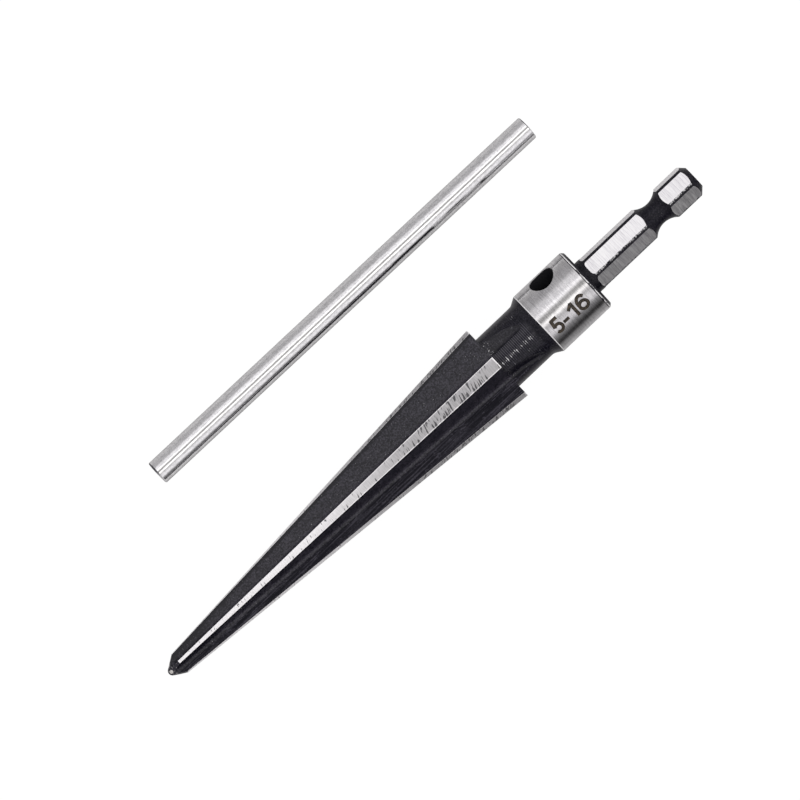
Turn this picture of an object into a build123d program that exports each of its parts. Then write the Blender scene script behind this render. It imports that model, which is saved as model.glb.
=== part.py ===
from build123d import *
import os
from math import acos, atan2, cos, degrees, hypot, radians, sin, sqrt, tan

# T-handle taper reamer with its tommy bar drawn out and laid beside it on the bench.
# Lengths are in millimetres and angles in degrees. The reamer is drawn along +X with +Z up, from its
# point at the origin to its hexagonal shank. It is tipped onto its lands at the end, where the bench
# becomes Z = 0 and the middle of the two pieces' footprint becomes the origin.

# point
nose_radius = 0.85
point_length = 2.8

# taper
taper_small_diameter = 4.6
taper_big_diameter = 16.2
taper_length = 78.5

# lands and the flutes between them; a land's lead is how far its middle is ahead of a radial line
flute_count = 5
land_width_big = 2.5
land_width_small = 0.55
land_lead_big = 0.2
land_lead_small = 0.35
cutting_face_rake = 11.0
groove_angle = 96.0
groove_nose_radius = 0.6
cutter_radius = 22.0
cutter_overrun = 0.9

# neck, and the flare that carries it into the collar
neck_diameter = 11.45
neck_length = 8.25
flare_radius = 1.5
flare_angle = 30.0

# collar
collar_diameter = 13.3
collar_length = 12.0
collar_chamfer = 0.5

# tommy bar, and the cross hole that it slides in
bar_diameter = 4.75
bar_length = 91.45
bar_chamfer = 0.15
bar_clearance = 0.5
hole_from_collar_end = 6.2
hole_turn = 58.7
hole_edge_radius = 0.12

# hexagonal shank, ground on a round one
hex_across_flats = 6.35
shank_diameter = 6.95
shank_length = 26.45
flats_start = 1.15
flats_overcut = 0.15
flats_corner_radius = 0.9
hex_turn = 17.5
shank_chamfer = 1.25

# ring groove that a quick-change chuck's ball drops into
detent_from_end = 9.55
detent_bottom_diameter = 4.6
detent_arc_radius = 3.8

# how the bar lies beside the reamer
bar_gap = 16.95
bar_start = 23.3
bar_turn = -0.35

# sizes that follow from the ones above
small_radius = taper_small_diameter / 2
big_radius = taper_big_diameter / 2
neck_radius = neck_diameter / 2
collar_radius = collar_diameter / 2
shank_radius = shank_diameter / 2
hex_radius = hex_across_flats / 2
bar_radius = bar_diameter / 2
hole_radius = (bar_diameter + bar_clearance) / 2
land_pitch = 360 / flute_count
shoulder_x = point_length + taper_length
flare_x = shoulder_x + neck_length
flare_rise = flare_radius * (1 - cos(radians(flare_angle)))
flare_end_x = flare_x + flare_radius * sin(radians(flare_angle))
collar_x = flare_end_x + (collar_radius - neck_radius - flare_rise) / tan(radians(flare_angle))
collar_end_x = collar_x + collar_length
end_x = collar_end_x + shank_length


def spoke(radius, angle):
    """The point at a radius and an angle about the axis, counted from straight up towards -Y."""
    return Vector(0, -radius * sin(radians(angle)), radius * cos(radians(angle)))


def turned_blank():
    """The body as it leaves the lathe: point, taper, neck, flare, collar and round shank."""
    nose_reach = hypot(point_length - nose_radius, small_radius)
    cone_angle = degrees(atan2(small_radius, point_length - nose_radius) + acos(nose_radius / nose_reach))
    with BuildSketch(Plane.XZ) as outline:
        with BuildLine():
            nose = CenterArc((nose_radius, 0), nose_radius, 180, cone_angle - 180)
            front = Polyline(
                nose @ 1,
                (point_length, small_radius),
                (shoulder_x, big_radius),
                (shoulder_x, neck_radius),
                (flare_x, neck_radius),
            )
            flare = JernArc(front @ 1, (1, 0), flare_radius, flare_angle)
            Polyline(
                flare @ 1,
                (collar_x, collar_radius),
                (collar_end_x - collar_chamfer, collar_radius),
                (collar_end_x, collar_radius - collar_chamfer),
                (collar_end_x, shank_radius),
                (end_x - shank_chamfer, shank_radius),
                (end_x, shank_radius - shank_chamfer),
                (end_x, 0),
                nose @ 0,
            )
        make_face()
    return revolve(outline.sketch, Axis.X)


def heel_angle(radius, width, lead):
    """Where a land centred straight up ends at the back, about the axis."""
    return degrees((width / 2 - lead) / radius)


def edge_angle(radius, width, lead):
    """Where the same land has its cutting edge, about the axis."""
    return -degrees((width / 2 + lead) / radius)


def groove_root(x, radius, width, lead, back, face):
    """Where the back of a groove, from one land's heel, meets the face from the next one's edge."""
    heel = spoke(radius, heel_angle(radius, width, lead))
    across = spoke(radius, land_pitch + edge_angle(radius, width, lead)) - heel
    along_back = (across.Y * face.Z - across.Z * face.Y) / (back.Y * face.Z - back.Z * face.Y)
    return Vector(x, 0, 0) + heel + back * along_back


def flute():
    """The groove of one pass of a single-angle cutter, which rises out of the neck at the end."""
    face_angle = land_pitch + edge_angle(big_radius, land_width_big, land_lead_big) + cutting_face_rake
    face = spoke(1, face_angle)
    back = spoke(1, face_angle - groove_angle)
    root_big = groove_root(shoulder_x, big_radius, land_width_big, land_lead_big, back, face)
    root_small = groove_root(point_length, small_radius, land_width_small, land_lead_small, back, face)
    travel = (root_big - root_small).normalized()
    rise = (face - travel * face.dot(travel)).normalized()
    stop = root_big + travel * cutter_overrun
    cutter = Plane(origin=stop, x_dir=rise, z_dir=travel)
    side = cutter.to_local_coords(stop + back * taper_big_diameter)
    with BuildSketch(cutter) as section:
        with BuildLine():
            Polyline((0, 0), (big_radius, 0), (big_radius + side.X, side.Y), (side.X, side.Y), close=True)
        make_face()
        fillet(section.vertices().sort_by_distance((0, 0, 0))[0], groove_nose_radius)
    groove = extrude(section.sketch, amount=-(shoulder_x + cutter_overrun))
    axle = Axis(stop + rise * cutter_radius, travel.cross(rise))
    clear_of_collar = degrees(acos(1 - collar_radius / cutter_radius))
    return groove + revolve(section.sketch, axle, clear_of_collar)


def ground_flats():
    """The six slabs that grinding takes off the round shank, with round corners by the collar."""
    half_width = sqrt(shank_radius**2 - hex_radius**2) + flats_overcut
    slab = Pos(collar_end_x + flats_start, 0, hex_radius) * Box(
        shank_length, 2 * half_width, shank_radius, align=(Align.MIN, Align.CENTER, Align.MIN)
    )
    slab = fillet(slab.edges().filter_by(Axis.Z).group_by(Axis.X)[0], flats_corner_radius)
    return [Rot(60 * side - hex_turn, 0, 0) * slab for side in range(6)]


def detent_ring():
    """The ring groove near the shank's end, as an arc turned about the axis."""
    arc_centre = Pos(end_x - detent_from_end, 0, detent_bottom_diameter / 2 + detent_arc_radius)
    return revolve(arc_centre * Rot(90, 0, 0) * Circle(detent_arc_radius), Axis.X)


def cross_hole():
    """The hole for the bar, right through the collar."""
    middle = Pos(collar_end_x - hole_from_collar_end, 0, 0)
    return middle * Rot(-hole_turn, 0, 0) * Cylinder(hole_radius, 2 * collar_radius)


def broken_hole_edges(body):
    """The same body with both rims of the cross hole rounded over."""
    wall = body.faces().filter_by(GeomType.CYLINDER).filter_by(lambda f: abs(f.radius - hole_radius) < 0.001)
    rims = wall.edges().filter_by(lambda edge: edge.geom_type != GeomType.LINE)
    return fillet(rims, hole_edge_radius)


def reamer_on_axis():
    """The whole reamer along +X, with a flute straight down so that it can rest on two lands."""
    body = broken_hole_edges(turned_blank() - cross_hole())
    groove = flute()
    for land in range(flute_count):
        body -= Rot(land_pitch * (land + (flute_count - 1) / 2), 0, 0) * groove
    body -= detent_ring()
    body -= ground_flats()
    return body


def bench_depth(radius, width, lead):
    """How far below the axis the two lowest lands reach at one station of the taper."""
    corner = max(heel_angle(radius, width, lead), -edge_angle(radius, width, lead))
    return radius * cos(radians(land_pitch / 2 - corner))


def lying_reamer():
    """The reamer tipped until its lands touch the bench at the point and at the shoulder."""
    depth_small = bench_depth(small_radius, land_width_small, land_lead_small)
    depth_big = bench_depth(big_radius, land_width_big, land_lead_big)
    tip = atan2(depth_big - depth_small, taper_length)
    height = depth_small * cos(tip) - point_length * sin(tip)
    return Pos(0, 0, height) * Rot(0, -degrees(tip), 0) * reamer_on_axis()


def lying_bar():
    """The tommy bar on the bench, almost in line with the reamer."""
    bar = Cylinder(bar_radius, bar_length, rotation=(0, 90, 0))
    bar = chamfer(bar.edges().filter_by(GeomType.CIRCLE), bar_chamfer)
    place = Pos(bar_start + bar_length / 2, big_radius + bar_gap + bar_radius, bar_radius)
    return place * Rot(0, 0, bar_turn) * bar


reamer = lying_reamer()
tommy_bar = lying_bar()
footprint = Compound([reamer, tommy_bar]).bounding_box()
to_origin = Pos(-footprint.center().X, -footprint.center().Y, 0)

os.makedirs("parts", exist_ok=True)
export_step(to_origin * reamer, "parts/reamer.step")
export_step(to_origin * tommy_bar, "parts/tommy_bar.step")
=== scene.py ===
from math import acos, atan2, ceil, cos, degrees, hypot, pi, radians, sin, sqrt, tan

import bmesh
import bpy
from mathutils import Matrix, Vector


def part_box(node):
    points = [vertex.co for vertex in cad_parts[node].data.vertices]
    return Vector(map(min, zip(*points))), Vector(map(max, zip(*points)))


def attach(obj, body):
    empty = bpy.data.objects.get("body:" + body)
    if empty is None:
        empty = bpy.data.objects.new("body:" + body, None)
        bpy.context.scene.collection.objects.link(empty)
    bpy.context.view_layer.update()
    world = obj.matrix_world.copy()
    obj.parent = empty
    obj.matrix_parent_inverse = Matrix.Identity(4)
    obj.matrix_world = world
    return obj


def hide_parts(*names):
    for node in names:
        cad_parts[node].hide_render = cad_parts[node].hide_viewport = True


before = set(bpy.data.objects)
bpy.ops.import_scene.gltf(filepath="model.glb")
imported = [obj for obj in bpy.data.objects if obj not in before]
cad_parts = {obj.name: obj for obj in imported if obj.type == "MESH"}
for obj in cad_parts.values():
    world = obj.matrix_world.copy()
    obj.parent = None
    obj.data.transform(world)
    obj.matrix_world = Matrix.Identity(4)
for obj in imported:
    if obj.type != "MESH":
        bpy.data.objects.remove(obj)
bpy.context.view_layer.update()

print("frame loaded, nodes:", ", ".join(sorted(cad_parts)))


# camera

camera = dict(
    lens=600.0,            # a very long lens, so that there is hardly any perspective
    sensor=36.0,
    viewWidth=0.14386,     # what the view spans at the aim
    aim=(-0.00103, -0.00380, 0.006),
    turn=-43.44,           # the reamer climbs from lower left to upper right
    lean=3.75,             # it looks square at the reamer, whose shank end lies higher than its point
)


def makeCamera(c):
    data = bpy.data.cameras.new("studioCamera")
    data.lens, data.sensor_width = c["lens"], c["sensor"]
    data.clip_start, data.clip_end = 0.05, 20
    rig = bpy.data.objects.new("studioCamera", data)
    bpy.context.scene.collection.objects.link(rig)
    rig.matrix_world = (
        Matrix.Translation(c["aim"])
        @ Matrix.Rotation(radians(-c["lean"]), 4, "Y")
        @ Matrix.Rotation(radians(c["turn"]), 4, "Z")
        @ Matrix.Translation((0, 0, c["viewWidth"] * c["lens"] / c["sensor"]))
    )
    bpy.context.scene.camera = rig


makeCamera(camera)
bpy.context.scene.view_settings.view_transform = "Standard"


# node writing

def operatorPair(operation):  # an operator of Value and its reflected form
    def plain(value, other):
        return value.book.sum(operation, value, other)

    def reflected(value, other):
        return value.book.sum(operation, other, value)

    return plain, reflected


class Value:  # one socket, so that sums on sockets read like sums on numbers
    __add__, __radd__ = operatorPair("ADD")
    __sub__, __rsub__ = operatorPair("SUBTRACT")
    __mul__, __rmul__ = operatorPair("MULTIPLY")
    __truediv__, __rtruediv__ = operatorPair("DIVIDE")

    def __init__(self, book, socket):
        self.book, self.socket = book, socket

    def __neg__(self):
        return self * -1

    def __abs__(self):
        return self.book.sum("ABSOLUTE", self)

    def out(self, name):
        return Value(self.book, self.socket.node.outputs[name])


class NodeBook:  # writes the nodes of one tree
    def __init__(self, tree):
        self.tree = tree
        tree.nodes.clear()

    def node(self, kind, settings=None, sockets=None):
        made = self.tree.nodes.new(kind)
        for name, value in (settings or {}).items():
            if name == "stops":
                ramp = made.color_ramp
                while len(ramp.elements) < len(value):
                    ramp.elements.new(0.5)
                for element, (at, level) in zip(ramp.elements, value):
                    element.position = at
                    element.color = (level, level, level, 1)
            else:
                setattr(made, name, value)
        for name, value in (sockets or {}).items():
            if isinstance(name, int):
                socket = made.inputs[name]
            else:
                socket = next(s for s in made.inputs if s.name == name and s.enabled)
            self.fill(socket, value)
        usable = [s for s in made.outputs if s.enabled]
        return Value(self, usable[0]) if usable else None

    def fill(self, socket, value):
        if isinstance(value, Value):
            self.tree.links.new(value.socket, socket)
        elif isinstance(value, tuple) and len(value) == 3 and socket.type == "RGBA":
            socket.default_value = (*value, 1)
        else:
            socket.default_value = value

    def sum(self, operation, *values):
        return self.node("ShaderNodeMath", {"operation": operation}, dict(enumerate(values)))

    def clamped(self, value):
        return self.node("ShaderNodeMath", {"operation": "ADD", "use_clamp": True}, {0: value, 1: 0.0})

    def rise(self, value, start, end):
        return self.node(
            "ShaderNodeMapRange",
            {"interpolation_type": "SMOOTHSTEP"},
            {"Value": value, "From Min": start, "From Max": end},
        )

    def bump(self, value, middle, reach):  # 1 at the middle, falling to 0 on both sides
        return 1 - self.rise(abs(value - middle), 0.0, reach)

    def blend(self, share, first, second, how="MIX"):
        return self.node(
            "ShaderNodeMix",
            {"data_type": "RGBA", "blend_type": how},
            {"Factor": share, "A": first, "B": second},
        )

    def vector(self, x, y, z):
        return self.node("ShaderNodeCombineXYZ", {}, {"X": x, "Y": y, "Z": z})

    def noise(self, at, scale=1.0, detail=2.0, roughness=0.5):
        return self.node(
            "ShaderNodeTexNoise",
            {"noise_dimensions": "3D"},
            {"Vector": at, "Scale": scale, "Detail": detail, "Roughness": roughness},
        )


def vary(pattern, amount):  # a noise, counted from its middle
    return (pattern - 0.5) * amount


def grey(level):
    return (level, level, level)


# studio

studio = dict(
    floorHalf=3.0,
    floorDrop=0.00001,     # the paper lies just under the pieces
    paper=0.86,            # its colour as the camera sees it
    floorWhite=1.07,
    shadowShare=0.10,      # how much of the floor's own shading the camera sees
    floor=[                # painted light and shade on the paper: how pale it is for the light that it throws back, by metres along Y
        (-0.080, 0.05), (-0.063, 0.12), (-0.040, 0.36), (-0.031, 0.42), (-0.024, 0.72), (-0.010, 0.76),
        (-0.003, 0.82), (0.004, 0.78), (0.009, 0.68), (0.0125, 0.50), (0.022, 0.70), (0.080, 0.60),
    ],
    floorReach=0.1,
    sky=[                  # brightness by degrees from straight up, from far side to near side
        (-180, 0.40), (-92, 0.44), (-73, 0.48), (-62, 0.49), (-55, 0.50), (-48, 0.70), (-41, 0.92),
        (-34, 0.98), (-27, 0.95), (-22, 1.16), (-17, 1.72), (-12, 1.22), (-8, 0.91), (-3, 0.77), (4, 0.66),
        (10, 1.62), (15, 1.72), (20, 0.92), (26, 0.58), (34, 0.82), (44, 0.98), (54, 0.94), (62, 0.62),
        (70, 0.27), (77, 0.23), (84, 0.13), (90, 0.07), (180, 0.045),
    ],
    skyStrength=2.0,       # the levels are divided by this first, so that a ramp can hold them
    horizon=0.5,           # the even level that the strips fade to, towards both ends of X
    horizonFrom=0.45,
    horizonFull=0.95,
    tint=(1.0, 0.978, 1.0),
    tintAbove=(1.0, 0.980, 0.965),
    tintMiddle=6.0,        # where the second tint is full, in degrees from straight up
    tintReach=34.0,
    openingTilt=-1.6,      # a dim opening in the light straight above, in degrees
    openingStretch=2.0,    # how much longer it is along X than across
    openingInner=4.6,
    openingOuter=8.8,
    openingDim=0.45,
)


def makeLight(s):
    world = bpy.data.worlds.new("lightTent")
    bpy.context.scene.world = world
    world.use_nodes = True
    book = NodeBook(world.node_tree)
    toward = book.node("ShaderNodeTexCoord")
    apart = book.node("ShaderNodeSeparateXYZ", {}, {"Vector": toward})
    x, y, z = apart, apart.out("Y"), apart.out("Z")
    angle = book.sum("ARCTAN2", -y, z) * (180 / pi)
    strength = s["skyStrength"]
    strips = book.node(
        "ShaderNodeValToRGB",
        {"stops": [((a + 180) / 360, level / strength) for a, level in s["sky"]]},
        {"Fac": (angle + 180) / 360},
    )
    aside, over = angle - s["openingTilt"], x * (180 / pi / s["openingStretch"])
    fromOpening = book.sum("SQRT", aside * aside + over * over)
    closed = book.rise(fromOpening, s["openingInner"], s["openingOuter"])
    strips = book.blend(closed, grey(s["openingDim"] / strength), strips)
    toEnds = book.rise(abs(x), s["horizonFrom"], s["horizonFull"])
    light = book.blend(toEnds, strips, grey(s["horizon"] / strength))
    above = book.bump(angle, s["tintMiddle"], s["tintReach"])
    light = book.blend(1.0, light, book.blend(above, s["tint"], s["tintAbove"]), "MULTIPLY")
    cameraRay = book.node("ShaderNodeLightPath")
    lit = book.node("ShaderNodeBackground", {}, {"Color": light, "Strength": strength})
    plain = book.node("ShaderNodeBackground", {}, {"Color": grey(1.0), "Strength": 1.0})
    mixed = book.node("ShaderNodeMixShader", {}, {0: cameraRay, 1: lit, 2: plain})
    book.node("ShaderNodeOutputWorld", {}, {"Surface": mixed})


def makeFloor(s):
    half, reach = s["floorHalf"], s["floorReach"]
    corners = [(-half, -half), (half, -half), (half, half), (-half, half)]
    mesh = bpy.data.meshes.new("floor")
    mesh.from_pydata([(x, y, -s["floorDrop"]) for x, y in corners], [], [(0, 1, 2, 3)])
    floor = bpy.data.objects.new("floor", mesh)
    bpy.context.scene.collection.objects.link(floor)
    paper = bpy.data.materials.new("whitePaper")
    paper.use_nodes = True
    book = NodeBook(paper.node_tree)
    place = book.node("ShaderNodeTexCoord").out("Object")
    y = book.node("ShaderNodeSeparateXYZ", {}, {"Vector": place}).out("Y")
    # the paper's painted light and shade, which every ray but the camera's sees
    bands = book.node(
        "ShaderNodeValToRGB",
        {"stops": [((at + reach) / (2 * reach), level) for at, level in s["floor"]]},
        {"Fac": (y + reach) / (2 * reach)},
    )
    cameraRay = book.node("ShaderNodeLightPath")
    colour = book.blend(cameraRay, bands, grey(s["paper"]))
    matt = book.node("ShaderNodeBsdfDiffuse", {}, {"Color": colour})
    white = book.node("ShaderNodeEmission", {}, {"Color": grey(1.0), "Strength": s["floorWhite"]})
    mixed = book.node("ShaderNodeMixShader", {}, {0: cameraRay * (1 - s["shadowShare"]), 1: matt, 2: white})
    book.node("ShaderNodeOutputMaterial", {}, {"Surface": mixed})
    mesh.materials.append(paper)


makeLight(studio)
makeFloor(studio)
print("studio ready")


# sizes, in millimetres along and about the reamer's own axis

point = dict(noseRadius=0.85, length=2.8, steps=10)
taper = dict(smallRadius=2.3, bigRadius=8.1, length=78.5)
lands = dict(count=5, widthBig=2.5, widthSmall=0.55, leadBig=0.2, leadSmall=0.35)
fluteCut = dict(
    rake=11.0, angle=96.0, noseRadius=0.6, cutterRadius=22.0,
    overrun=0.9,           # how far the cutter goes on past the shoulder before it rises
    runs=8, arcSteps=40, noseSteps=6,
)
neck = dict(
    radius=5.725, length=8.25, flareRadius=1.5, flareAngle=30.0, flareSteps=8,
    ringMargin=0.3, ringPitch=0.38, ringDepth=0.018, ringSteps=4,
)
collar = dict(
    radius=6.65, length=12.0, chamfer=0.5, bands=24,
    edgeDrop=0.03, edgeWidth=0.15,         # a narrow edge towards the neck, nearly white as a painted highlight
    lineFromEnd=0.80, lineWidth=0.15, lineDepth=0.05, lineSide=0.02, rimDrop=0.07,
)
hole = dict(
    radius=2.625, fromEnd=6.2, turn=58.7, rimRadius=0.12, rimSteps=5, segments=96,
    climb=0.5, climbAngle=25.0,            # how the cutter leaves the rim, clear of the collar
    flare=0.6, flareFrom=0.8, flareTo=1.2,
)
shank = dict(
    radius=3.475, length=26.45, flats=6, acrossFlats=6.35, flatsStart=1.15, turn=17.5, chamfer=1.25,
    overcut=0.15, cornerRadius=0.9, cornerSteps=10,
    pastEnd=1.0,           # how far the flats' cutter goes on past the end
)
detent = dict(fromEnd=9.55, bottomRadius=2.3, arcRadius=3.8, steps=28)
turning = dict(segments=240, smoothTo=22, mergeWithin=1e-5, dropUnder=1e-6)

landPitch = 360 / lands["count"]
shoulderX = point["length"] + taper["length"]
flareX = shoulderX + neck["length"]
flareRise = neck["flareRadius"] * (1 - cos(radians(neck["flareAngle"])))
flareEndX = flareX + neck["flareRadius"] * sin(radians(neck["flareAngle"]))
collarX = flareEndX + (collar["radius"] - neck["radius"] - flareRise) / tan(radians(neck["flareAngle"]))
collarEndX = collarX + collar["length"]
endX = collarEndX + shank["length"]


def spoke(radius, angle):  # the angle is counted from straight up towards -Y
    return Vector((0, -radius * sin(radians(angle)), radius * cos(radians(angle))))


def heelAngle(radius, width, lead):
    return degrees((width / 2 - lead) / radius)


def edgeAngle(radius, width, lead):
    return -degrees((width / 2 + lead) / radius)


def benchDepth(radius, width, lead):  # how far below the axis the two lowest lands reach
    corner = max(heelAngle(radius, width, lead), -edgeAngle(radius, width, lead))
    return radius * cos(radians(landPitch / 2 - corner))


depthSmall = benchDepth(taper["smallRadius"], lands["widthSmall"], lands["leadSmall"])
depthBig = benchDepth(taper["bigRadius"], lands["widthBig"], lands["leadBig"])
tipAngle = atan2(depthBig - depthSmall, taper["length"])
tipHeight = depthSmall * cos(tipAngle) - point["length"] * sin(tipAngle)
cadLow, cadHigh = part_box("reamer")
toPlace = (                # from the reamer's own axis to where it lies
    Matrix.Translation((cadLow[0], (cadLow[1] + cadHigh[1]) / 2, tipHeight / 1000))
    @ Matrix.Rotation(-tipAngle, 4, "Y")
    @ Matrix.Scale(0.001, 4)
)


# the path of one flute's cutter, which the cutting face's streaks follow too

def grooveRoot(x, radius, width, lead, back, face):  # where a groove's back meets its cutting face
    heel = spoke(radius, heelAngle(radius, width, lead))
    across = spoke(radius, landPitch + edgeAngle(radius, width, lead)) - heel
    along = (across.y * face.z - across.z * face.y) / (back.y * face.z - back.z * face.y)
    return Vector((x, 0, 0)) + heel + back * along


edgeBig = edgeAngle(taper["bigRadius"], lands["widthBig"], lands["leadBig"])
fluteFaceAngle = landPitch + edgeBig + fluteCut["rake"]
fluteFace, fluteBack = spoke(1, fluteFaceAngle), spoke(1, fluteFaceAngle - fluteCut["angle"])
rootBig = grooveRoot(
    shoulderX, taper["bigRadius"], lands["widthBig"], lands["leadBig"], fluteBack, fluteFace
)
rootSmall = grooveRoot(
    point["length"], taper["smallRadius"], lands["widthSmall"], lands["leadSmall"], fluteBack, fluteFace
)


# finishes

class Finish(NodeBook):  # a material whose patterns are laid out along and around a bar's axis
    def __init__(self, name, place):
        self.material = bpy.data.materials.new(name)
        self.material.use_nodes = True
        super().__init__(self.material.node_tree)
        at, turn, size = place.decompose()
        sockets = {
            "Vector": self.node("ShaderNodeTexCoord").out("Object"),
            "Location": tuple(at),
            "Rotation": tuple(turn.to_euler()),
            "Scale": tuple(size),
        }
        self.place = self.node("ShaderNodeMapping", {"vector_type": "TEXTURE"}, sockets)
        apart = self.node("ShaderNodeSeparateXYZ", {}, {"Vector": self.place})
        self.along, self.across, self.up = apart, apart.out("Y"), apart.out("Z")
        self.around = self.sum("ARCTAN2", -self.across, self.up)
        self.radius = self.sum("SQRT", self.across * self.across + self.up * self.up)

    def spread(self, alongScale, aroundScale):
        return self.vector(self.along * alongScale, self.around * self.radius * aroundScale, self.radius)

    def shaded(self, look, level):
        return self.blend(self.clamped(level), look["dark"], look["light"])

    def finish(self, look, colour, height=None, fine=None, bare=1.0):  # fine varies the roughness
        roughness = look["roughness"]
        if fine is not None:
            roughness = roughness + vary(fine, look["fineRoughness"])
        sockets = {
            "Base Color": colour, "Roughness": roughness, "Metallic": bare * look["metallic"],
            "Specular IOR Level": look.get("shine", 0.5),
        }
        if height is not None:
            bump = {"Height": height, "Strength": 1.0, "Distance": look["height"] / 1000}
            sockets["Normal"] = self.node("ShaderNodeBump", {}, bump)
        shader = self.node("ShaderNodeBsdfPrincipled", {}, sockets)
        self.node("ShaderNodeOutputMaterial", {}, {"Surface": shader})
        return self.material


def alongTaper(f, small, big):  # a size that grows evenly from the point to the shoulder
    return small + (f.along - point["length"]) / taper["length"] * (big - small)


def overRoot(f):  # how far out a place lies from the line of the flutes' roots
    small = rootSmall.yz.length
    return f.radius - alongTaper(f, small, small + (rootBig - rootSmall).yz.length)


def fromFlat(f, flatsOn=0.0):  # the angle from the nearest flat's middle, or at 0.5 from the nearest corner
    step = radians(360 / shank["flats"])
    return f.sum("WRAP", f.around + radians(shank["turn"]) - step * flatsOn, step / 2, -step / 2)


oxide = dict(
    deep=(0.0005, 0.0004, 0.0050),
    pale=(0.0580, 0.0545, 0.0710),
    steel=(0.55, 0.55, 0.56),              # where the oxide has rubbed through
    metallic=0.7, spotScale=5.5, spotEdge=0.07,
    tone=0.38,                             # from 0, deep, to 1, pale
    grainScale=3.0, grainTone=4.0, blotchScale=0.5, blotchTone=0.7,
    fineRoughness=0.2, grainHeight=0.015,
)


def blackOxide(name, pattern, worn, shine, roughness=0.33):  # bare where the spots are over worn
    f = Finish(name, toPlace)
    f.grain = f.noise(f.place, oxide["grainScale"], detail=3.0, roughness=0.7)
    f.blotch = f.noise(f.place, oxide["blotchScale"])
    spots = f.noise(f.place, oxide["spotScale"], detail=1.0)
    tone = oxide["tone"] + vary(f.grain, oxide["grainTone"]) + vary(f.blotch, oxide["blotchTone"])
    tone, spots, height, depth = pattern(f, tone, spots)
    bare = f.rise(spots, worn, worn + oxide["spotEdge"])
    dark = f.blend(f.clamped(tone), oxide["deep"], oxide["pale"])
    look = dict(oxide, roughness=roughness, shine=shine, height=depth)
    return f.finish(look, f.blend(bare, dark, oxide["steel"]), height, f.grain, bare)


milledLook = dict(
    heelPaintedShade=1.0, heelFrom=0.05, heelTo=0.32,      # painted shade: a dark line behind each land
    rootPaintedHighlight=0.20, rootFrom=0.22, rootTo=0.42,     # painted highlight: a paler line along each root
    tipDark=0.36, tipFrom=7.0, tipTo=15.0,
    neckDark=0.36, neckFrom=-0.6, neckTo=1.0,      # counted from the shoulder
    neckSpots=0.09, spotsMiddle=0.6, spotsReach=1.5,
)


def milled(f, tone, spots):
    look = milledLook
    heelSmall = lands["widthSmall"] / 2 - lands["leadSmall"]
    heelBig = lands["widthBig"] / 2 - lands["leadBig"]
    behind = f.sum("WRAP", f.around, radians(landPitch), 0.0)
    fromHeel = behind * f.radius - alongTaper(f, heelSmall, heelBig)
    # painted shade behind each land's heel
    byHeel = 1 - f.rise(fromHeel, look["heelFrom"], look["heelTo"])
    # painted highlight along each root
    rootHighlightShare = 1 - f.rise(overRoot(f), look["rootFrom"], look["rootTo"])
    overNeck = f.rise(f.along, shoulderX + look["neckFrom"], shoulderX + look["neckTo"])
    nearTip = 1 - f.rise(f.along, look["tipFrom"], look["tipTo"])
    tone = tone + rootHighlightShare * (1 - overNeck) * look["rootPaintedHighlight"] - overNeck * look["neckDark"]
    tone = tone - nearTip * look["tipDark"] - byHeel * look["heelPaintedShade"]
    byShoulder = f.bump(f.along, shoulderX + look["spotsMiddle"], look["spotsReach"])
    return tone, spots + byShoulder * look["neckSpots"], f.grain, oxide["grainHeight"]


streakLook = dict(
    streaks=(0.10, 3.5, 0.14), scratches=(0.16, 1.3, -0.10),   # scale along, scale outwards, and slant
    scratchInner=0.006, scratchOuter=0.022, brokenFrom=0.85, brokenTo=1.15,
    tone=0.05, oxideTone=0.35, streakTone=3.5, scratchTone=0.9,
    oxideSpots=0.30, streakSpots=0.70,
    height=0.02, grainHeight=0.3, scratchHeight=0.2,
)


def streaked(f, tone, spots):  # along the cutting faces
    look, out = streakLook, overRoot(f)

    def slanted(alongScale, outScale, slant):
        return f.vector(f.along * alongScale, out * outScale + f.along * slant, f.around)

    streaks = f.noise(slanted(*look["streaks"]), roughness=0.6)
    scratch = abs(f.noise(slanted(*look["scratches"])) - 0.5)
    scratches = 1 - f.rise(scratch, look["scratchInner"], look["scratchOuter"])
    scratches = scratches * f.rise(f.grain + f.blotch, look["brokenFrom"], look["brokenTo"])
    tone = tone * look["oxideTone"] + vary(streaks, look["streakTone"])
    tone = tone + scratches * look["scratchTone"] + look["tone"]
    spots = spots * look["oxideSpots"] + streaks * look["streakSpots"]
    height = f.grain * look["grainHeight"] + streaks + scratches * look["scratchHeight"]
    return tone, spots, height, look["height"]


ringLook = dict(
    wearGlintTurn=0.13, wearGlintReach=0.16,             # crests rubbed bare along the line where the highlight falls, partly painted glints, in radians about the axis
    highlightTurn=-0.07, highlightReach=0.48,              # painted highlight: the band where the highlight falls, in which the rings show stronger
    endBefore=0.3, endAfter=0.2,                   # they fade out about the start of the flare
    brokenAlong=2.6, brokenAround=0.7,
    tone=-0.03, oxideTone=0.45, crestTone=0.5, highlightTone=5.0, crestMiddle=0.45,
    oxideSpots=0.38, brokenSpots=0.5, crestSpots=0.18, crestSpotsMiddle=0.6, wearGlintSpots=0.125,
    height=0.006, grainHeight=0.5, brokenHeight=0.6,
)


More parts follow.
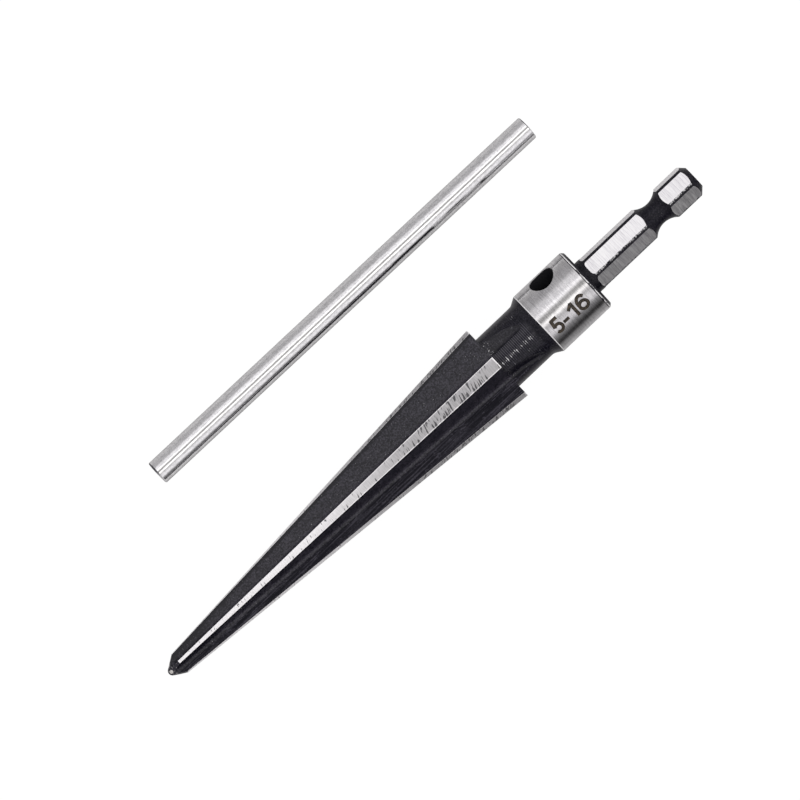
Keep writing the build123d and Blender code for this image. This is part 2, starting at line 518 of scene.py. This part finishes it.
def ringed(f, tone, spots):  # turned round the neck
    look = ringLook
    phase = (f.along - shoulderX - neck["ringMargin"]) * (2 * pi / neck["ringPitch"])
    crest = 0.5 + 0.5 * f.sum("COSINE", phase)
    broken = f.noise(f.spread(look["brokenAlong"], look["brokenAround"]), roughness=0.6)
    # bare crests along one line: wear, and painted glints where the highlight falls
    wearAndGlints = f.bump(f.around, look["wearGlintTurn"], look["wearGlintReach"])
    # painted highlight: the rings show stronger where the highlight falls
    highlightBand = f.bump(f.around, look["highlightTurn"], look["highlightReach"])
    onNeck = 1 - f.rise(f.along, flareX - look["endBefore"], flareX + look["endAfter"])
    rings = (crest - look["crestMiddle"]) * broken * onNeck
    rings = rings * (look["crestTone"] + highlightBand * look["highlightTone"])
    tone = tone * look["oxideTone"] + look["tone"] + rings
    spots = spots * look["oxideSpots"] + broken * look["brokenSpots"]
    spots = spots + (crest - look["crestSpotsMiddle"]) * look["crestSpots"]
    spots = spots + wearAndGlints * onNeck * look["wearGlintSpots"]
    height = f.grain * look["grainHeight"] + broken * look["brokenHeight"]
    return tone, spots, height, look["height"]


shankLook = dict(
    tone=-0.05, oxideTone=0.45,
    besideStart=(-0.14, -0.12), besideEnd=(-0.07, 0.03),       # a speckled strip by a flat, from its corner
    fromCollar=(1.2, 1.8), outside=(3.40, 3.45), nearSide=(-0.5, -0.2),
    specklesScale=3.0, speckles=(0.47, 0.53), speckled=0.55, between=-0.04,
)


def speckled(f, tone, spots):  # beside the ground flats
    look = shankLook
    aside = fromFlat(f, 0.5)
    onStrip = (1 - f.rise(aside, *look["besideEnd"])) * f.rise(aside, *look["besideStart"])
    onStrip = onStrip * f.rise(f.along - collarEndX, *look["fromCollar"])
    onStrip = onStrip * f.rise(f.radius, *look["outside"]) * f.rise(f.around, *look["nearSide"])
    ragged = f.noise(f.spread(look["specklesScale"], look["specklesScale"]), roughness=0.6)
    spots = spots + onStrip * (f.rise(ragged, *look["speckles"]) * look["speckled"] + look["between"])
    return tone * look["oxideTone"] + look["tone"], spots, f.grain, oxide["grainHeight"]


pointLook = dict(
    middle=0.60, reach=0.26, edge=0.12, noise=0.5, top=(0.0, 0.2),     # rubbed bright on top of the nose, nearly white there: partly a painted highlight
    # a bare streak up one side of the cone, partly a painted highlight
    highlightStreakAlong=(1.0, 0.45), highlightStreakAround=(-1.35, 0.55), line=(0.35, 0.5),
    specks=(0.57, 0.65), speckShare=0.35,
    rubScale=3.0, fineScale=8.0, dark=(0.55, 0.53, 0.49), light=(1.0, 0.99, 0.96), between=(0.40, 0.60),
    # barely metallic, so that the bare steel reads nearly white as a painted highlight
    roughness=0.26, metallic=0.2, height=0.010, shine=0.2,
)


def wornPointWithHighlight():
    look = pointLook
    f = Finish("wornPointWithHighlight", toPlace)
    rub = f.noise(f.place, look["rubScale"], detail=3.0, roughness=0.6)
    fine = f.noise(f.place, look["fineScale"])
    off = f.along - look["middle"]
    away = f.sum("SQRT", off * off + f.across * f.across) + vary(rub, look["noise"])
    # painted highlight on top of the nose, partly rubbed steel
    rubbedHighlightSpot = (1 - f.rise(away, look["reach"], look["reach"] + look["edge"])) * f.rise(f.up, *look["top"])
    highlightStreak = f.bump(f.along, *look["highlightStreakAlong"]) * f.bump(f.around, *look["highlightStreakAround"])
    specks = f.rise(rub, *look["specks"]) * look["speckShare"]
    bare = f.clamped(rubbedHighlightSpot + highlightStreak * f.rise(fine, *look["line"]) + specks)
    steel = f.blend(f.rise(fine, *look["between"]), look["dark"], look["light"])
    colour = f.blend(bare, f.blend(fine, oxide["deep"], oxide["pale"]), steel)
    return f.finish(look, colour, rub, bare=bare)


landLook = dict(
    dark=(0.25, 0.245, 0.255), light=(0.97, 0.96, 0.97), shade=0.98,
    paintedShade=0.67, paintedShadeFrom=30.0, paintedShadeFull=62.0,    # painted shade: darker towards the shoulder
    fineAlong=6.0, fineAround=0.5, fineTone=0.7,
    # painted highlight: a pale line along both edges of each land, stronger on the heel side
    edge=(1.0, 0.99, 1.0), edgeHighlightLine=(0.056, 0.196), edgeHighlightShare=0.9, heelHighlightShare=0.4, heelSide=(-0.1, 0.1),
    bareEnd=(-0.30, -0.12),                        # counted from the shoulder
    roughness=0.38, fineRoughness=0.12, metallic=0.5, height=0.004,
)
chatterLook = dict(        # the dark ticks that the cutter left
    colour=(0.06, 0.06, 0.065), share=0.92, onEdge=0.3,
    start=(46.0, 72.0), end=(77.0, 79.5),
    groups=[(23.5, 2.0, 0.5), (11.5, 1.5, 0.6)],   # middle, reach and strength
    tickAlong=3.0, tickSlant=0.8, tickAcross=0.45, tickAround=2.0, tickDetail=1.5, ticks=(0.535, 0.60),
    gain=0.12, heelSide=(-0.4, 0.9), heelGain=0.05,
)


def chatterMarks(f, arc):
    look = chatterLook
    along = f.along * look["tickAlong"] + arc * look["tickSlant"]
    place = f.vector(along, arc * look["tickAcross"], f.around * look["tickAround"])
    ticks = f.noise(place, detail=look["tickDetail"])
    rough = f.rise(f.along, *look["start"]) * (1 - f.rise(f.along, *look["end"]))
    for middle, reach, strength in look["groups"]:
        rough = rough + strength * f.bump(f.along, middle, reach)
    byHeel = f.rise(arc, *look["heelSide"]) * look["heelGain"]
    return f.rise(ticks + (rough - 1) * look["gain"] + byHeel, *look["ticks"])


def groundLand():
    look = landLook
    f = Finish("groundLand", toPlace)
    half = radians(landPitch / 2)
    lead = alongTaper(f, lands["leadSmall"], lands["leadBig"])
    arc = f.sum("WRAP", f.around, half, -half) * f.radius + lead  # from the middle towards the heel
    fromEdge = alongTaper(f, lands["widthSmall"], lands["widthBig"]) / 2 - abs(arc)
    outline = 1 - f.rise(fromEdge, *look["edgeHighlightLine"])
    fine = f.noise(f.spread(look["fineAlong"], look["fineAround"]), detail=3.0, roughness=0.6)
    # painted shade, darker towards the shoulder
    paintedShade = f.rise(f.along, look["paintedShadeFrom"], look["paintedShadeFull"])
    shade = look["shade"] - paintedShade * look["paintedShade"] + vary(fine, look["fineTone"])
    heelHighlight = outline * f.rise(arc, *look["heelSide"])
    atEnd = f.rise(f.along - shoulderX, *look["bareEnd"])
    # painted highlight on the edges, with the bare end by the shoulder
    highlightAndBareEnd = f.clamped(outline * look["edgeHighlightShare"] + heelHighlight * look["heelHighlightShare"] + atEnd)
    colour = f.blend(highlightAndBareEnd, f.shaded(look, shade), look["edge"])
    chatter = f.clamped(chatterMarks(f, arc) * (1 - outline * (1 - chatterLook["onEdge"])))
    colour = f.blend(chatter * chatterLook["share"], colour, chatterLook["colour"])
    return f.finish(look, colour, fine, fine)


collarLook = dict(
    dark=(0.45, 0.445, 0.455), light=(0.83, 0.825, 0.83), shade=0.5,
    lineScale=(5.0, 0.30), lineTone=1.6, lineHeight=0.8,
    grainScale=4.0, grainTone=0.9, grainHeight=0.2,
    cloudScale=(0.5, 0.35), cloudTone=0.8,
    roughness=0.165, fineRoughness=0.12, metallic=1.0, height=0.004,
)


def collarSteel():  # turned, with fine lines round it
    look = collarLook
    f = Finish("collarSteel", toPlace)
    lines = f.noise(f.spread(*look["lineScale"]), detail=3.0, roughness=0.65)
    grain = f.noise(f.place, look["grainScale"])
    cloud = f.noise(f.spread(*look["cloudScale"]))
    shade = look["shade"] + vary(lines, look["lineTone"]) + vary(grain, look["grainTone"])
    colour = f.shaded(look, shade + vary(cloud, look["cloudTone"]))
    return f.finish(look, colour, lines * look["lineHeight"] + grain * look["grainHeight"], lines)


highlightEdgeLook = dict(
    dark=0.88, light=1.0, oxide=(0.02, 0.02, 0.03), fineScale=(4.0, 1.2), gapScale=(1.5, 0.55),
    gapBefore=0.06, gapAfter=0.02, roughness=0.5, metallic=0.2,
)


def paintedHighlightEdge(name, broken):  # a painted highlight, nearly white and barely metallic; the oxide still stands on the edge where the noise is under broken
    look = highlightEdgeLook
    f = Finish(name, toPlace)
    fine = f.noise(f.spread(*look["fineScale"]))
    gaps = f.noise(f.spread(*look["gapScale"]))
    bare = f.rise(gaps, broken - look["gapBefore"], broken + look["gapAfter"])
    steel = f.blend(fine, grey(look["dark"]), grey(look["light"]))
    return f.finish(look, f.blend(bare, look["oxide"], steel))


flatLook = dict(
    dark=(0.72, 0.71, 0.735), light=(1.0, 1.0, 1.0), oxide=(0.02, 0.02, 0.025), shade=0.66,
    lineScale=4.5, lineSpread=0.3, lineTone=3.4,
    broadScale=0.7, broadSpread=0.1, broadTone=0.7,
    left=(1.31, 1.37), leftRagged=0.12,            # oxide that still stands, by millimetres from the middle
    nearSide=(-0.5, -0.2),                         # where none stands, in radians about the axis
    roughness=0.35, fineRoughness=0.4, metallic=1.0, height=0.018,
)


def groundFlat():  # ground across, so that the lines cross the flat
    look = flatLook
    f = Finish("groundFlat", toPlace)

    def crossing(scale, spread):
        return f.vector(f.along * scale, f.across * spread, f.up * spread)

    lines = f.noise(crossing(look["lineScale"], look["lineSpread"]), detail=3.0, roughness=0.7)
    broad = f.noise(crossing(look["broadScale"], look["broadSpread"]), detail=1.0)
    shade = look["shade"] + vary(lines, look["lineTone"]) + vary(broad, look["broadTone"])
    side = f.sum("SINE", fromFlat(f)) * f.radius + vary(lines, look["leftRagged"])
    left = f.rise(side, *look["left"]) * (1 - f.rise(f.around, *look["nearSide"]))
    return f.finish(look, f.blend(left, f.shaded(look, shade), look["oxide"]), lines, lines)


markLook = dict(
    dark=(0.006, 0.004, 0.003), light=(0.095, 0.070, 0.044), scale=3.6, blotches=(0.40, 0.66),
    roughness=0.6, metallic=0.0, height=0.004,
)


def laserMark():
    look = markLook
    f = Finish("laserMark", toPlace)
    blotch = f.noise(f.place, look["scale"], detail=3.0, roughness=0.7)
    return f.finish(look, f.shaded(look, f.rise(blotch, *look["blotches"])), blotch)


holeLook = dict(
    dark=(0.003, 0.003, 0.005), light=(0.009, 0.009, 0.012), scale=4.0,
    roughness=0.6, metallic=0.0, height=0.004,
)


def holeBlack():
    look = holeLook
    f = Finish("holeBlack", toPlace)
    grain = f.noise(f.place, look["scale"])
    return f.finish(look, f.shaded(look, grain), grain)


reamerFinishes = dict(
    point=wornPointWithHighlight(),
    black=blackOxide("blackOxideMilled", milled, worn=0.735, shine=0.36),
    cuttingFace=blackOxide("blackOxideStreaked", streaked, worn=0.74, shine=0.16),
    neck=blackOxide("blackOxideTurned", ringed, worn=0.62, shine=0.28, roughness=0.24),
    shank=blackOxide("blackOxideShank", speckled, worn=0.74, shine=0.22),
    land=groundLand(),
    collar=collarSteel(),
    # painted highlights: the edge towards the neck, and the rim, broken by oxide
    edge=paintedHighlightEdge("paintedHighlightEdge", broken=0.0),
    rim=paintedHighlightEdge("brokenPaintedHighlightEdge", broken=0.44),
    hole=holeBlack(),
    flat=groundFlat(),
    mark=laserMark(),
)
print("finishes ready:", len(reamerFinishes))


# mesh helpers

def newObject(name, points, faces, materials, picks=None):
    mesh = bpy.data.meshes.new(name)
    mesh.from_pydata([tuple(p) for p in points], [], faces)
    for material in materials:
        mesh.materials.append(material)
    if picks is not None:
        mesh.polygons.foreach_set("material_index", picks)
    made = bpy.data.objects.new(name, mesh)
    bpy.context.scene.collection.objects.link(made)
    return made


def joinRings(rings, loop=False):  # a closed tube through rings of points, capped unless it is a loop
    size = len(rings[0])
    points = [p for ring in rings for p in ring]
    pairs = [(i, (i + 1) % len(rings)) for i in range(len(rings) if loop else len(rings) - 1)]
    faces = [
        (i * size + j, i * size + (j + 1) % size, k * size + (j + 1) % size, k * size + j)
        for i, k in pairs for j in range(size)
    ]
    if not loop:
        faces.append(tuple(range(size - 1, -1, -1)))
        faces.append(tuple(range((len(rings) - 1) * size, len(rings) * size)))
    return points, faces


def facingOut(made):
    work = bmesh.new()
    work.from_mesh(made.data)
    bmesh.ops.recalc_face_normals(work, faces=work.faces)
    work.to_mesh(made.data)
    work.free()
    return made


def turnedObject(name, outline, steps, materials):
    # the outline holds x, radius and the finish of the run that follows; both ends are on the axis
    points, faces, picks, rings = [], [], [], []
    for x, r, _ in outline:
        if r == 0:
            rings.append([len(points)] * steps)
            points.append((x, 0, 0))
        else:
            rings.append(list(range(len(points), len(points) + steps)))
            points += [Vector((x, 0, 0)) + spoke(r, 360 * j / steps) for j in range(steps)]
    for i in range(len(rings) - 1):
        for j in range(steps):
            k = (j + 1) % steps
            corners = (rings[i][j], rings[i][k], rings[i + 1][k], rings[i + 1][j])
            faces.append(tuple(dict.fromkeys(corners)))
            picks.append(outline[i][2])
    return newObject(name, points, faces, materials, picks)


# the cutting tree: a cutter set round the axis and taken out of the blank

def cuttingTree():
    tree = bpy.data.node_groups.new("cutAround", "GeometryNodeTree")
    for name, kind in (
        ("Blank", "NodeSocketGeometry"), ("Cutter", "NodeSocketObject"), ("Count", "NodeSocketInt"),
        ("First Turn", "NodeSocketFloat"), ("Finish", "NodeSocketMaterial"),
    ):
        tree.interface.new_socket(name, in_out="INPUT", socket_type=kind)
    tree.interface.new_socket("Mesh", in_out="OUTPUT", socket_type="NodeSocketGeometry")
    book = NodeBook(tree)
    given = book.node("NodeGroupInput")
    cutter = book.node("GeometryNodeObjectInfo", {}, {"Object": given.out("Cutter")}).out("Geometry")
    cutter = book.node(
        "GeometryNodeStoreNamedAttribute",
        {"data_type": "BOOLEAN", "domain": "FACE"},
        {"Geometry": cutter, "Name": "cut", "Value": True},
    )
    places = book.node("GeometryNodeMeshLine", {}, {"Count": given.out("Count"), "Offset": (0, 0, 0)})
    share = book.node("GeometryNodeInputIndex") / given.out("Count")
    turn = book.node(
        "FunctionNodeAxisAngleToRotation", {},
        {"Axis": (1, 0, 0), "Angle": share * (2 * pi) + given.out("First Turn")},
    )
    cutters = book.node(
        "GeometryNodeInstanceOnPoints", {}, {"Points": places, "Instance": cutter, "Rotation": turn}
    )
    cutters = book.node("GeometryNodeRealizeInstances", {}, {"Geometry": cutters})
    body = book.node(
        "GeometryNodeMeshBoolean",
        {"operation": "DIFFERENCE", "solver": "EXACT"},
        {"Mesh 1": given, "Mesh 2": cutters, "Self Intersection": True},
    )
    body = book.node("GeometryNodeRealizeInstances", {}, {"Geometry": body})
    isCut, ownFinish = [
        book.node("GeometryNodeInputNamedAttribute", {"data_type": "BOOLEAN"}, {"Name": name})
        for name in ("cut", "ownFinish")
    ]
    plainCut = book.node("FunctionNodeBooleanMath", {"operation": "NIMPLY"}, {0: isCut, 1: ownFinish})
    body = book.node(
        "GeometryNodeSetMaterial", {},
        {"Geometry": body, "Selection": plainCut, "Material": given.out("Finish")},
    )
    book.node("NodeGroupOutput", {}, {"Mesh": body})
    return tree


cutAround = cuttingTree()


def cutWith(blank, cutter, count, firstTurn, finish):  # leaves the blank as a plain mesh
    step = blank.modifiers.new("cutAround", "NODES")
    step.node_group = cutAround
    inputs = [item for item in cutAround.interface.items_tree if item.in_out == "INPUT"]
    sockets = {item.name: item.identifier for item in inputs}
    step[sockets["Cutter"]] = cutter
    step[sockets["Count"]] = count
    step[sockets["First Turn"]] = radians(firstTurn)
    step[sockets["Finish"]] = finish
    shaped = blank.evaluated_get(bpy.context.evaluated_depsgraph_get())
    mesh = bpy.data.meshes.new_from_object(shaped)
    blank.modifiers.remove(step)
    blank.data = mesh
    for name in ("cut", "ownFinish"):
        if name in mesh.attributes:
            mesh.attributes.remove(mesh.attributes[name])
    print("cut with", cutter.name, count, "times, faces now", len(mesh.polygons))
    bpy.data.objects.remove(cutter)
    return blank


def keepFinish(made, wanted):  # marks the cutter's faces that leave their own finish behind
    flags = made.data.attributes.new("ownFinish", "BOOLEAN", "FACE")
    flags.data.foreach_set("value", wanted)


# reamer: the turned blank

pick = {name: i for i, name in enumerate(reamerFinishes)}


def pointOutline():
    nose, length, small = point["noseRadius"], point["length"], taper["smallRadius"]
    coneAngle = degrees(atan2(small, length - nose) + acos(nose / hypot(length - nose, small)))
    outline = []
    for i in range(point["steps"] + 1):
        a = radians((180 - coneAngle) * i / point["steps"])
        outline.append((nose - nose * cos(a), nose * sin(a) if i else 0, pick["point"]))
    return outline


def neckOutline():
    length = neck["length"] - 2 * neck["ringMargin"]
    steps = neck["ringSteps"] * round(length / neck["ringPitch"])
    outline = []
    for i in range(steps + 1):  # fine turning rings
        x = shoulderX + neck["ringMargin"] + length * i / steps
        wave = 0.5 - 0.5 * cos(2 * pi * i / neck["ringSteps"])
        outline.append((x, neck["radius"] - neck["ringDepth"] * wave, pick["neck"]))
    for i in range(neck["flareSteps"] + 1):
        a = radians(neck["flareAngle"]) * i / neck["flareSteps"]
        rise = neck["flareRadius"] * (1 - cos(a))
        outline.append((flareX + neck["flareRadius"] * sin(a), neck["radius"] + rise, pick["neck"]))
    return outline


def collarOutline():
    r, drop, bands = collar["radius"], collar["edgeDrop"], collar["bands"]
    startX, lineX = collarX + collar["edgeWidth"], collarEndX - collar["lineFromEnd"]
    rimX, side, depth = lineX + collar["lineWidth"], collar["lineSide"], collar["lineDepth"]
    chamferX = collarEndX - collar["chamfer"]
    outline = [
        (collarX - drop, r - drop * tan(radians(neck["flareAngle"])), pick["edge"]),
        (collarX, r, pick["edge"]),
    ]
    outline += [(startX + (lineX - startX) * i / bands, r, pick["collar"]) for i in range(bands)]
    outline += [
        (lineX, r, pick["shank"]),
        (lineX + side, r - depth, pick["shank"]),
        (rimX - side, r - depth, pick["shank"]),
        (rimX, r, pick["rim"]),
        (chamferX, r, pick["rim"]),
        (chamferX + collar["rimDrop"], r - collar["rimDrop"], pick["shank"]),
        (collarEndX, r - collar["chamfer"], pick["shank"]),
        (collarEndX, shank["radius"], pick["shank"]),
    ]
    return outline


def shankOutline():
    middle = endX - detent["fromEnd"]
    centreRadius = detent["bottomRadius"] + detent["arcRadius"]
    reach = acos((centreRadius - shank["radius"]) / detent["arcRadius"])
    outline = []
    for i in range(detent["steps"] + 1):
        a = reach * (2 * i / detent["steps"] - 1)
        x, r = middle + detent["arcRadius"] * sin(a), centreRadius - detent["arcRadius"] * cos(a)
        outline.append((x, r, pick["shank"]))
    outline.append((endX - shank["chamfer"], shank["radius"], pick["shank"]))
    outline.append((endX, shank["radius"] - shank["chamfer"], pick["shank"]))
    outline.append((endX, 0, pick["shank"]))
    return outline


def blankOutline():
    shoulders = [
        (point["length"], taper["smallRadius"], pick["land"]),
        (shoulderX, taper["bigRadius"], pick["black"]),
        (shoulderX, neck["radius"], pick["neck"]),
    ]
    return pointOutline() + shoulders + neckOutline() + collarOutline() + shankOutline()


# reamer: the cutters

def roundedCorner(before, corner, after, radius, steps):  # the corner of an outline as an arc
    one, two = (before - corner).normalized(), (after - corner).normalized()
    half = one.angle(two) / 2
    centre = corner + (one + two).normalized() * (radius / sin(half))
    first, last = corner + one * (radius / tan(half)), corner + two * (radius / tan(half))
    start, end = first - centre, last - centre
    sweep = start.angle(end)
    return [
        centre + (start * sin(sweep * (1 - i / steps)) + end * sin(sweep * i / steps)) / sin(sweep)
        for i in range(steps + 1)
    ]


def fluteCutter():  # one pass of a single-angle cutter: straight along the flute, then up out of the neck
    travel = (rootBig - rootSmall).normalized()
    rise = (fluteFace - travel * fluteFace.dot(travel)).normalized()
    side = travel.cross(rise)
    stop = rootBig + travel * fluteCut["overrun"]
    backRun = Vector((fluteBack.dot(rise), fluteBack.dot(side))) * 2 * taper["bigRadius"]
    faceRun = Vector((taper["bigRadius"], 0))
    root = roundedCorner(faceRun, Vector((0, 0)), backRun, fluteCut["noseRadius"], fluteCut["noseSteps"])
    section = [faceRun + backRun, faceRun] + root + [backRun]
    start = [stop + rise * p.x + side * p.y for p in section]
    runs, reach = fluteCut["runs"], shoulderX + fluteCut["overrun"]
    rings = [[p - travel * reach * (1 - i / runs) for p in start] for i in range(runs)]
    centre = stop + rise * fluteCut["cutterRadius"]
    clearOfCollar = acos(1 - collar["radius"] / fluteCut["cutterRadius"])
    for i in range(fluteCut["arcSteps"] + 1):
        turn = Matrix.Rotation(clearOfCollar * i / fluteCut["arcSteps"], 3, side)
        rings.append([centre + turn @ (p - centre) for p in start])
    points, faces = joinRings(rings)
    made = newObject("fluteCutter", points, faces, [reamerFinishes["cuttingFace"]])
    size, faceStrip = len(section), 1  # the strip from faceRun to the root
    keepFinish(made, [i // size < len(rings) - 1 and i % size == faceStrip for i in range(len(faces))])
    return facingOut(made)


def flatCutter():  # the slab that grinding takes off one side of the shank
    level = shank["acrossFlats"] / 2
    half = sqrt(shank["radius"] ** 2 - level ** 2) + shank["overcut"]
    x0, x1 = collarEndX + shank["flatsStart"], endX + shank["pastEnd"]
    corners = [Vector((x1, half)), Vector((x0, half)), Vector((x0, -half)), Vector((x1, -half))]
    radius, steps = shank["cornerRadius"], shank["cornerSteps"]
    outline = [corners[0]]
    outline += roundedCorner(corners[0], corners[1], corners[2], radius, steps)
    outline += roundedCorner(corners[1], corners[2], corners[3], radius, steps)
    outline.append(corners[3])
    rings = [[(p.x, p.y, z) for p in outline] for z in (level, level + shank["radius"])]
    points, faces = joinRings(rings)
    return facingOut(newObject("flatCutter", points, faces, [reamerFinishes["flat"]]))


def holeMouth(side):  # rings of one mouth, from inside the hole out past the rounded rim
    radius, rim, body, steps = hole["radius"], hole["rimRadius"], collar["radius"], hole["rimSteps"]
    rings = [[] for _ in range(steps + 4)]
    for j in range(hole["segments"]):
        a = 2 * pi * j / hole["segments"]
        top = sqrt(body ** 2 - (radius * sin(a)) ** 2)
        slope = atan2(radius * sin(a) ** 2, top)
        level = top - tan(slope) * rim - rim / cos(slope)
        profile = []
        for i in range(steps + 1):
            b = (pi / 2 + slope) * i / steps
            profile.append((radius + rim - rim * cos(b), level + rim * sin(b)))
        r, z = profile[-1]
        lift = slope - radians(hole["climbAngle"])
        profile.append((r + hole["climb"] * cos(lift), z - hole["climb"] * sin(lift)))
        profile += [(r + hole["flare"], body + hole[end]) for end in ("flareFrom", "flareTo")]
        for ring, (r, z) in zip(rings, profile):
            ring.append((r * cos(a), r * sin(a), side * z))
    return rings


def holeCutter():
    lower, upper = holeMouth(-1), holeMouth(1)
    rings = lower[::-1] + upper
    points, faces = joinRings(rings)
    made = newObject("holeCutter", points, faces, [reamerFinishes["collar"]])
    count, runs, wall = hole["segments"], len(rings) - 1, len(lower) - 1
    keepFinish(made, [i // count < runs and i // count != wall for i in range(len(faces))])
    facingOut(made)
    made.data.transform(
        Matrix.Translation((collarEndX - hole["fromEnd"], 0, 0))
        @ Matrix.Rotation(radians(-hole["turn"]), 4, "X")
    )
    return made


# reamer: the size in plain numbers, cut a little way into the collar

mark = dict(
    depth=0.02, depthStep=0.003, proud=0.2, stroke=0.65, step=0.15, bowStep=12.0, sameWithin=1e-6,
    baseAngle=35.5,        # where the numbers stand, counted from straight up
)


def line(x0, y0, x1, y1):
    steps = ceil(hypot(x1 - x0, y1 - y0) / mark["step"])
    return [Vector((x0 + (x1 - x0) * i / steps, y0 + (y1 - y0) * i / steps)) for i in range(steps + 1)]


def bow(x, y, width, height, first, last):
    steps = ceil(abs(last - first) / mark["bowStep"])
    angles = [radians(first + (last - first) * i / steps) for i in range(steps + 1)]
    return [Vector((x + width / 2 * cos(a), y + height / 2 * sin(a))) for a in angles]


signs = [                  # where each sign starts along the reamer, and its strokes
    (92.80, [
        line(1.75, 2.91, 0.29, 2.91), line(0.49, 3.05, 0.29, 1.45), bow(0.92, 1.02, 1.50, 1.62, 152, -150),
    ]),
    (94.90, [line(0.05, 1.16, 1.35, 1.16)]),
    (96.80, [line(0.06, 2.08, 1.24, 2.98), line(1.19, 3.12, 1.19, 0.0)]),
    (98.70, [bow(1.10, 1.02, 1.74, 1.62, 0, 360), bow(1.20, 1.62, 1.94, 2.58, 202, 36)]),
]


def strokeRibbon(path, x0, depth):  # a stroke's cutter, bent round the collar
    loop = (path[0] - path[-1]).length < mark["sameWithin"]
    if loop:
        path = path[:-1]
    rings = []
    for i, p in enumerate(path):
        before = path[i - 1] if i or loop else p
        after = path[(i + 1) % len(path)] if i < len(path) - 1 or loop else p
        along = (after - before).normalized() * (mark["stroke"] / 2)
        aside = Vector((-along.y, along.x))
        ring = []
        for way, height in ((1, -depth), (-1, -depth), (-1, mark["proud"]), (1, mark["proud"])):
            q = p + aside * way
            angle = mark["baseAngle"] - degrees(q.y / collar["radius"])
            ring.append(Vector((x0 + q.x, 0, 0)) + spoke(collar["radius"] + height, angle))
        rings.append(ring)
    return joinRings(rings, loop)


def markCutter():
    points, faces = [], []
    strokes = [(x0, path) for x0, paths in signs for path in paths]
    for number, (x0, path) in enumerate(strokes):
        more, around = strokeRibbon(path, x0, mark["depth"] + mark["depthStep"] * number)
        faces += [tuple(i + len(points) for i in face) for face in around]
        points += more
    return facingOut(newObject("markCutter", points, faces, [reamerFinishes["mark"]]))


def settle(made):  # merges doubles, cuts many-sided faces into triangles, and shades smooth
    work = bmesh.new()
    work.from_mesh(made.data)
    bmesh.ops.remove_doubles(work, verts=work.verts, dist=turning["mergeWithin"])
    bmesh.ops.dissolve_degenerate(work, edges=work.edges, dist=turning["dropUnder"])
    bmesh.ops.triangulate(work, faces=[f for f in work.faces if len(f.verts) > 4])
    work.to_mesh(made.data)
    work.free()
    made.data.shade_smooth()
    made.data.set_sharp_from_angle(angle=radians(turning["smoothTo"]))


def makeReamer():
    made = turnedObject("reamerBody", blankOutline(), turning["segments"], reamerFinishes.values())
    cutWith(made, holeCutter(), 1, 0, reamerFinishes["hole"])
    cutWith(made, fluteCutter(), lands["count"], 0, reamerFinishes["black"])
    cutWith(made, flatCutter(), shank["flats"], -shank["turn"], reamerFinishes["flat"])
    cutWith(made, markCutter(), 1, 0, reamerFinishes["mark"])
    settle(made)
    made.data.transform(toPlace)
    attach(made, "root")
    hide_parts("reamer")
    return made


reamer = makeReamer()
print("reamer ready, faces:", len(reamer.data.polygons))


# tommy bar

bar = dict(
    radius=2.375, length=91.45, chamfer=0.15, turn=-0.35, segments=160,
    edge=0.03,             # the chamfer's own edges are rounded by this much
    edgeIn=0.6,            # where the outer one's middle point lies, as a share of it
)
barLow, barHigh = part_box("tommy_bar")
barPlace = (
    Matrix.Translation(((barLow[0] + barHigh[0]) / 2, (barLow[1] + barHigh[1]) / 2, bar["radius"] / 1000))
    @ Matrix.Rotation(radians(bar["turn"]), 4, "Z")
    @ Matrix.Scale(0.001, 4)
)


barLook = dict(
    dark=(0.64, 0.64, 0.645), light=(0.99, 0.99, 0.995), shade=0.55,
    fineScale=(0.5, 5.0), fineTone=0.8, fineHeight=0.7,
    mottleSpread=(1.0, 2.0), mottleScale=1.2, mottleTone=1.7, mottleHeight=0.3,
    grainScale=5.0, grainTone=2.8,
    roughness=0.085, fineRoughness=0.03, metallic=1.0, height=0.0014,
)


def barSteel():
    look = barLook
    f = Finish("barSteel", barPlace)
    fine = f.noise(f.spread(*look["fineScale"]), detail=3.0, roughness=0.6)
    mottle = f.noise(f.spread(*look["mottleSpread"]), look["mottleScale"], roughness=0.6)
    grain = f.noise(f.place, look["grainScale"], roughness=0.6)
    shade = look["shade"] + vary(fine, look["fineTone"]) + vary(mottle, look["mottleTone"])
    colour = f.shaded(look, shade + vary(grain, look["grainTone"]))
    return f.finish(look, colour, fine * look["fineHeight"] + mottle * look["mottleHeight"], fine)


endLook = dict(
    clean=(0.80, 0.80, 0.81), paintedShadeColour=(0.022, 0.020, 0.034), paintedShadeSide=(-0.9, 0.5), ragged=2.8, scale=4.0,
    roughness=0.45, metallic=0.3, height=0.004,
)


def barEnd():  # sawn, with painted shade on the far side
    look = endLook
    f = Finish("barEnd", barPlace)
    fine = f.noise(f.place, look["scale"])
    # painted shade over the far side of the end
    paintedShadeSide = f.rise(f.across + vary(fine, look["ragged"]), *look["paintedShadeSide"])
    colour = f.blend(paintedShadeSide, look["clean"], look["paintedShadeColour"])
    return f.finish(look, colour, fine)


def makeBar(b):
    half, r, c, e = b["length"] / 2, b["radius"], b["chamfer"], b["edge"]
    ends = [(half, 0), (half, r - c - e), (half - b["edgeIn"] * e, r - c), (half - c, r)]
    outline = [(-x, radius, 1) for x, radius in ends[:-1]] + [(-ends[-1][0], r, 0), (ends[-1][0], r, 1)]
    outline += [(x, radius, 1) for x, radius in ends[-2::-1]]
    made = turnedObject("tommyBar", outline, b["segments"], [barSteel(), barEnd()])
    settle(made)
    made.data.transform(barPlace)
    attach(made, "root")
    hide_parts("tommy_bar")
    return made


tommyBar = makeBar(bar)
print("tommy bar ready, faces:", len(tommyBar.data.polygons))
